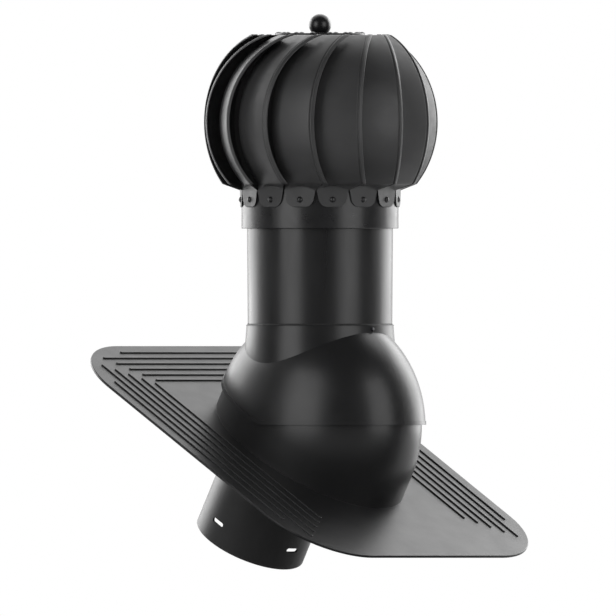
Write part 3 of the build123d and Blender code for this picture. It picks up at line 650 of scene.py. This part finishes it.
toCamera = np.array([-math.sqrt(0.5), -math.sqrt(0.5), 0.0])
toRight = np.array([math.sqrt(0.5), -math.sqrt(0.5), 0.0])
upwards = np.array([0.0, 0.0, 1.0])
aim = tiltCentre + cameraLook["side"] * toRight + cameraLook["rise"] * upwards

cameraData = bpy.data.cameras.new("camera")
cameraData.type = "ORTHO"
cameraData.ortho_scale = cameraLook["width"]
cameraData.clip_end = 50.0
camera = bpy.data.objects.new("camera", cameraData)
camera.location = aim + cameraLook["distance"] * toCamera
camera.rotation_euler = (math.radians(90), 0, math.radians(cameraLook["azimuth"]))
bpy.context.scene.collection.objects.link(camera)
bpy.context.scene.camera = camera


# Lamps: tall soft boxes left and right of the camera, two more behind for the rims, and one high behind

def softBox(name, azimuth, elevation, distance, size, level):
    # azimuth is counted to the right of the camera, as seen from the object; level is the box's radiance
    turn, lift = math.radians(azimuth), math.radians(elevation)
    outwards = math.cos(turn) * toCamera + math.sin(turn) * toRight
    direction = math.cos(lift) * outwards + math.sin(lift) * upwards
    light = bpy.data.lights.new(name, "AREA")
    light.shape = "RECTANGLE"
    light.size, light.size_y = size
    light.energy = level * math.pi * size[0] * size[1]
    lamp = bpy.data.objects.new(name, light)
    side = np.cross(upwards, direction)
    side = side / np.linalg.norm(side)
    matrix = np.eye(4)
    matrix[:3, 0], matrix[:3, 1], matrix[:3, 2] = side, np.cross(direction, side), direction
    matrix[:3, 3] = aim + distance * direction
    lamp.matrix_world = Matrix(matrix.tolist())
    bpy.context.scene.collection.objects.link(lamp)
    return lamp


lampLook = {
    "leftBox": {"azimuth": -46, "elevation": 12, "distance": 1.7, "size": (1.0, 1.7), "level": 2.35},
    "rightBox": {"azimuth": 46, "elevation": 12, "distance": 1.7, "size": (1.0, 1.7), "level": 1.95},
    "leftRimBox": {"azimuth": -136, "elevation": 14, "distance": 1.8, "size": (1.25, 1.4), "level": 3.2},
    "rightRimBox": {"azimuth": 133.5, "elevation": 14, "distance": 1.8, "size": (1.25, 1.4), "level": 3.2},
    "topBox": {"azimuth": 162, "elevation": 42, "distance": 2.0, "size": (2.6, 2.0), "level": 1.15},
}
for name, place in lampLook.items():
    softBox(name, **place)
print("camera and lamps placed")


# World: white wherever it is looked at; for shine it is white behind the object and dim in front of it

worldLook = {"fill": 0.42, "shineBehind": 1.0, "shineInFront": 0.03, "turnOver": (-0.05, 0.35)}

world = bpy.data.worlds.new("studio")
world.use_nodes = True
bpy.context.scene.world = world
tree = world.node_tree
tree.nodes.clear()
coords = addNode(tree, "ShaderNodeTexCoord", (-900, 0))
path = addNode(tree, "ShaderNodeLightPath", (-700, 400))
shine = addNode(tree, "ShaderNodeBackground", (-200, -50))
fill = addNode(tree, "ShaderNodeBackground", (-200, -200), Strength=worldLook["fill"])
seen = addNode(tree, "ShaderNodeBackground", (-200, 150), Strength=1.0)
for node in (shine, fill, seen):
    node.inputs["Color"].default_value = (1.0, 1.0, 1.0, 1.0)
facing = lengthAlong(tree, (-700, 0), coords.outputs["Generated"], -toCamera)
shineSpan = (worldLook["shineInFront"], worldLook["shineBehind"])
behind = mapped(tree, (-500, 0), facing, worldLook["turnOver"], shineSpan, smooth=True)
glossyRay, throughRay = path.outputs["Is Glossy Ray"], path.outputs["Is Transmission Ray"]
glossy = joined(tree, (-450, 300), "MAXIMUM", glossyRay, throughRay)
indirect = addNode(tree, "ShaderNodeMixShader", (50, -50))
final = addNode(tree, "ShaderNodeMixShader", (250, 50))
worldOutput = addNode(tree, "ShaderNodeOutputWorld", (450, 50))
tree.links.new(behind, shine.inputs["Strength"])
tree.links.new(glossy, indirect.inputs["Fac"])
tree.links.new(fill.outputs["Background"], indirect.inputs[1])
tree.links.new(shine.outputs["Background"], indirect.inputs[2])
tree.links.new(path.outputs["Is Camera Ray"], final.inputs["Fac"])
tree.links.new(indirect.outputs["Shader"], final.inputs[1])
tree.links.new(seen.outputs["Background"], final.inputs[2])
tree.links.new(final.outputs["Shader"], worldOutput.inputs["Surface"])


# Floor: a pale disc just below the duct stub, fading to white far out. For shine it carries painted shade:
# dark close in front of the object and lighter further out.

floorLook = {
    "radius": 9.0, "drop": 0.004, "rings": 24, "spokes": 96,
    "tint": (0.80, 0.80, 0.80), "tintDrop": 0.97, "fade": (1.2, 4.5),
    "paintedShade": (0.0, 0.22), "lighter": (0.25, 0.70), "shineInFront": 0.04, "shineFurther": 0.40,
}


def floorDisc(look, level):
    # rings of points: radius grows with the square of the ring's number, turned through a full circle
    rings, spokes = look["rings"], look["spokes"]
    radius = look["radius"] * (np.arange(1, rings + 1) / rings) ** 2
    angle = np.arange(spokes) * 2 * math.pi / spokes
    ring = np.stack([np.outer(radius, np.cos(angle)), np.outer(radius, np.sin(angle))], -1).reshape(-1, 2)
    points = np.zeros((1 + len(ring), 3))
    points[1:, :2] = ring
    points[:, 2] = level
    here = np.arange(spokes)
    after = (here + 1) % spokes
    inner = np.stack([np.zeros(spokes, int), 1 + here, 1 + after], -1).tolist()
    start = 1 + np.arange(rings - 1)[:, None] * spokes
    quads = np.stack([start + here, start + spokes + here, start + spokes + after, start + after], -1)
    mesh = bpy.data.meshes.new("floor")
    mesh.from_pydata(points.tolist(), [], inner + quads.reshape(-1, 4).tolist())
    disc = bpy.data.objects.new("floor", mesh)
    bpy.context.scene.collection.objects.link(disc)
    return disc


def floorMaterial(look):
    # matt paper near the object, glowing white far out, which only the camera sees
    material, tree = newMaterial("paleFloor")
    coords = addNode(tree, "ShaderNodeTexCoord", (-900, 0))
    path = addNode(tree, "ShaderNodeLightPath", (-700, 300))
    away = tree.nodes.new("ShaderNodeVectorMath")
    away.operation = "LENGTH"
    away.location = (-700, 0)
    tree.links.new(coords.outputs["Object"], away.inputs[0])
    fade = mapped(tree, (-500, 0), away.outputs["Value"], look["fade"], smooth=True)
    seenFade = joined(tree, (-300, 100), "MULTIPLY", fade, path.outputs["Is Camera Ray"])
    paper = addNode(tree, "ShaderNodeBsdfDiffuse", (-200, -100))
    mottle = objectNoise(tree, (-500, -300), 30.0, 3.0)
    tint = tuple(look["tintDrop"] * channel for channel in look["tint"])
    tree.links.new(tintBetween(tree, (-400, -300), mottle, tint, look["tint"]), paper.inputs["Color"])
    # painted shade for shine: a dark diffuse colour close in front of the object, lighter further out
    inFront = lengthAlong(tree, (-700, -600), coords.outputs["Object"], toCamera)
    front = mapped(tree, (-500, -600), inFront, look["paintedShade"], smooth=True)
    paintedShade = joined(tree, (-300, -450), "MULTIPLY", front, path.outputs["Is Glossy Ray"])
    shineSpan = (look["shineInFront"], look["shineFurther"])
    further = mapped(tree, (-400, -750), inFront, look["lighter"], shineSpan, smooth=True)
    shade = addNode(tree, "ShaderNodeBsdfDiffuse", (-200, -600))
    tree.links.new(further, shade.inputs["Color"])
    paperMix = addNode(tree, "ShaderNodeMixShader", (-50, -350))
    tree.links.new(paintedShade, paperMix.inputs["Fac"])
    tree.links.new(paper.outputs["BSDF"], paperMix.inputs[1])
    tree.links.new(shade.outputs["BSDF"], paperMix.inputs[2])
    glow = addNode(tree, "ShaderNodeEmission", (-200, -250), Strength=1.0)
    glow.inputs["Color"].default_value = (1, 1, 1, 1)
    mix = addNode(tree, "ShaderNodeMixShader", (100, 0))
    output = addNode(tree, "ShaderNodeOutputMaterial", (300, 0))
    tree.links.new(seenFade, mix.inputs["Fac"])
    tree.links.new(paperMix.outputs["Shader"], mix.inputs[1])
    tree.links.new(glow.outputs["Emission"], mix.inputs[2])
    tree.links.new(mix.outputs["Shader"], output.inputs["Surface"])
    return material


floor = floorDisc(floorLook, cadBox[0][2] - floorLook["drop"])
floor.data.materials.append(floorMaterial(floorLook))
print("floor and world set")

bpy.context.scene.view_settings.view_transform = "Standard"
